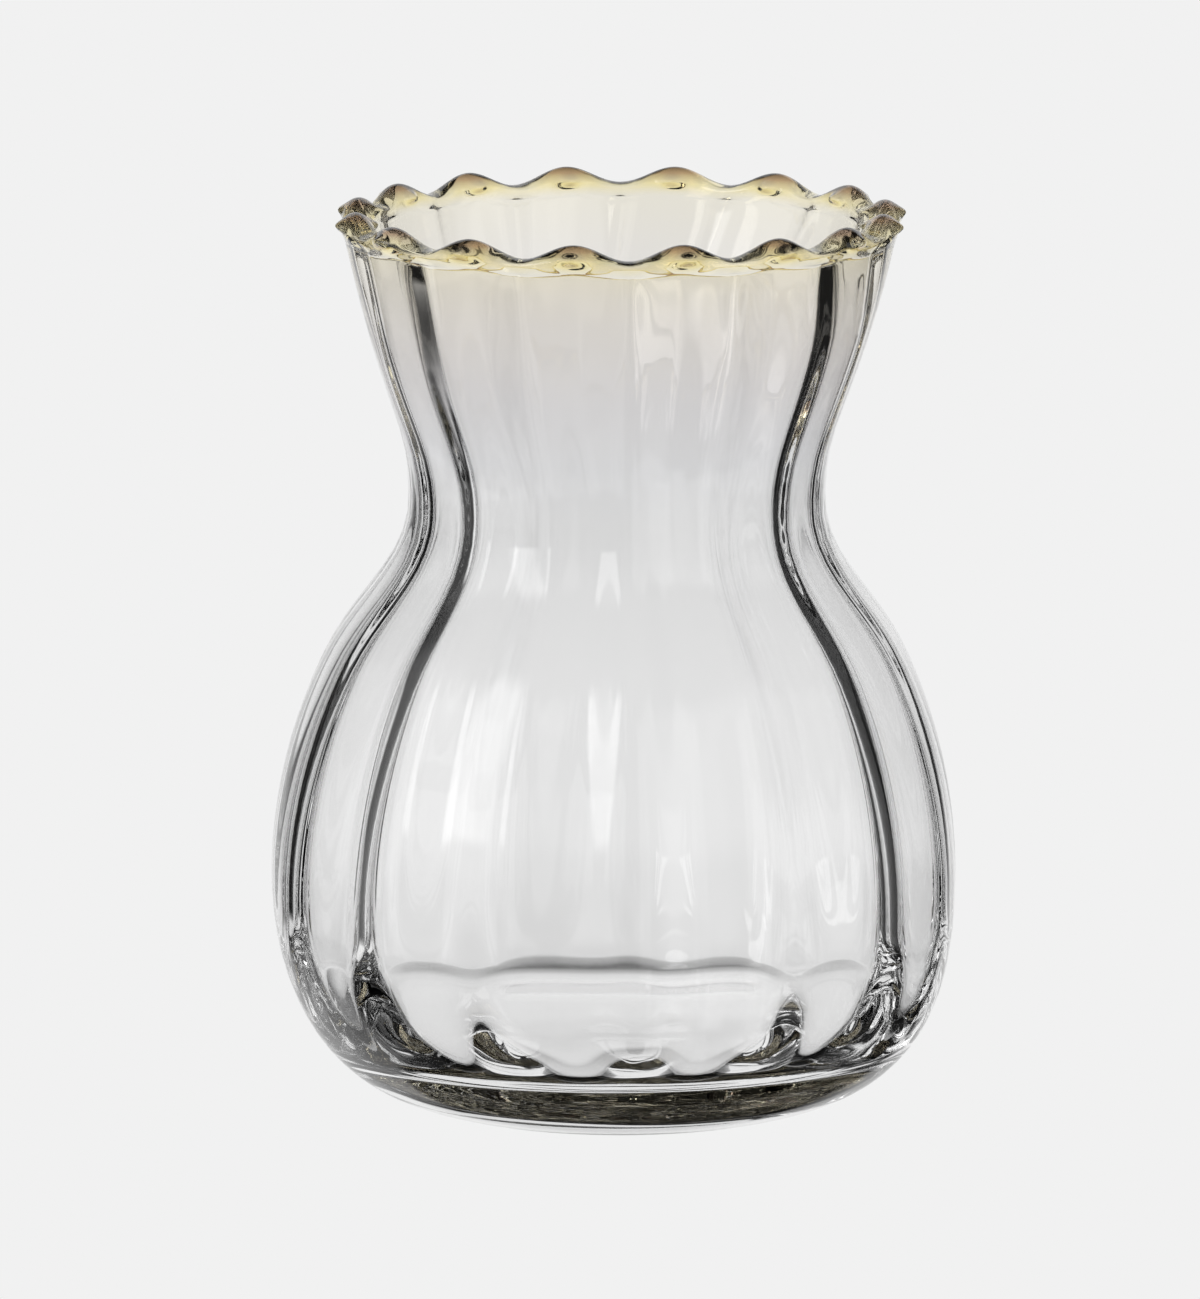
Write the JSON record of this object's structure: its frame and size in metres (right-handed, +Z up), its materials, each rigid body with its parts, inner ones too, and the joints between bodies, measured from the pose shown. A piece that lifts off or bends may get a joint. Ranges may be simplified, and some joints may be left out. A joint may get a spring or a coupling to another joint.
{
  "type": "glass vase",
  "caption": "Clear glass vase with a full belly, a drawn-in waist, a flared mouth, vertical lobes and a scalloped lip.",
  "frame": {"origin": "centre of the foot, on the plane that the vase stands on", "axes": "+Z up along the vase's axis; -Y is the front, where one crease between two lobes faces the viewer"},
  "size_m": [0.1368, 0.1368, 0.18],
  "materials": {
    "clear_glass": "clear, polished",
    "amber_glass": "clear with a faint amber tint, fire-polished"
  },
  "bodies": {
    "root": {"base_pad": "clear_glass", "belly_wall": "clear_glass", "neck_wall": "clear_glass", "scalloped_lip": "amber_glass"}
  },
  "joints": []
}
